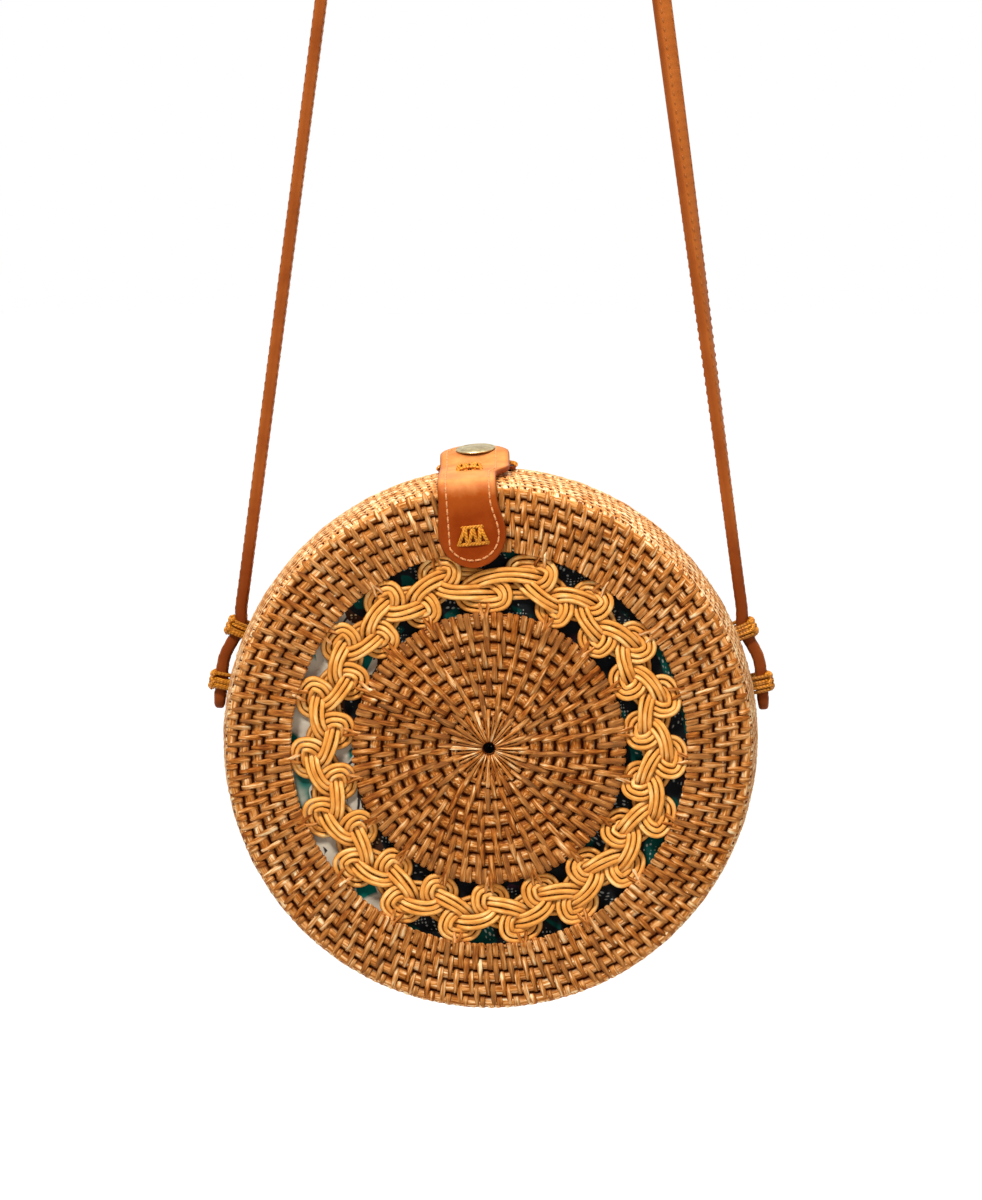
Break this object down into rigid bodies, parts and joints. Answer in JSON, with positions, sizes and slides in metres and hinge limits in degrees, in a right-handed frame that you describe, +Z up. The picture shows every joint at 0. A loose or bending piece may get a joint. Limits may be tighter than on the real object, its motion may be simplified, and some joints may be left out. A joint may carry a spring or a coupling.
{
  "type": "braided crossbody bag",
  "caption": "Round crossbody bag of coiled cane: two hinged half shells, a braided ring in the front face, a leather snap tab and a long leather strap.",
  "frame": {"origin": "underside of the strap at its highest point, where the bag hangs", "axes": "+Z up along the strap, -Y out of the braided front face, +X to the right seen from the front"},
  "size_m": [0.2106, 0.079, 0.7115],
  "materials": {
    "coiled_cane": "fine coiled vine, smoked honey brown, satin",
    "braid_cane": "split vine strands, light honey, satin",
    "lining": "printed cotton",
    "leather": "orange brown, lightly grained",
    "waxed_thread": "waxed thread, golden orange",
    "antique_brass": "dull antique brass"
  },
  "bodies": {
    "strap": {"strap": "leather"},
    "back": {"back_shell": "coiled_cane", "back_lining": "lining", "closure_patch": "leather", "patch_lashing_left": "waxed_thread", "patch_lashing_right": "waxed_thread", "snap_stud": "antique_brass", "strap_end_left": "leather", "strap_end_right": "leather", "strap_lashing_upper_left": "waxed_thread", "strap_lashing_upper_right": "waxed_thread", "strap_lashing_lower_left": "waxed_thread", "strap_lashing_lower_right": "waxed_thread", "hinge_loop_left_back": "coiled_cane", "hinge_loop_right_back": "coiled_cane"},
    "lid": {"front_ring_shell": "coiled_cane", "centre_disc": "coiled_cane", "braid_strand_inner": "braid_cane", "braid_strand_outer": "braid_cane", "front_lining": "lining", "tab_base": "leather", "tab_lashing_lower": "waxed_thread", "tab_lashing_upper": "waxed_thread", "hinge_loop_left_front": "coiled_cane", "hinge_loop_right_front": "coiled_cane"},
    "flap": {"tab_flap": "leather", "snap_cap": "antique_brass", "snap_socket": "antique_brass"}
  },
  "joints": [
    {"name": "strap_swing", "type": "hinge", "parent": "strap", "child": "back", "pos_m": [0, 0, -0.56], "axis": [1, 0, 0], "range_deg": [-75, 75]},
    {"name": "lid_hinge", "type": "hinge", "parent": "back", "child": "lid", "pos_m": [0, -0.00555, -0.70725], "axis": [1, 0, 0], "range_deg": [0, 90]},
    {"name": "tab_flap", "type": "hinge", "parent": "lid", "child": "flap", "pos_m": [-0.0075, -0.01375, -0.50487], "axis": [0.9973, 0, 0.0732], "range_deg": [-4, 95], "stiffness_Nm_per_rad": 0.04}
  ]
}
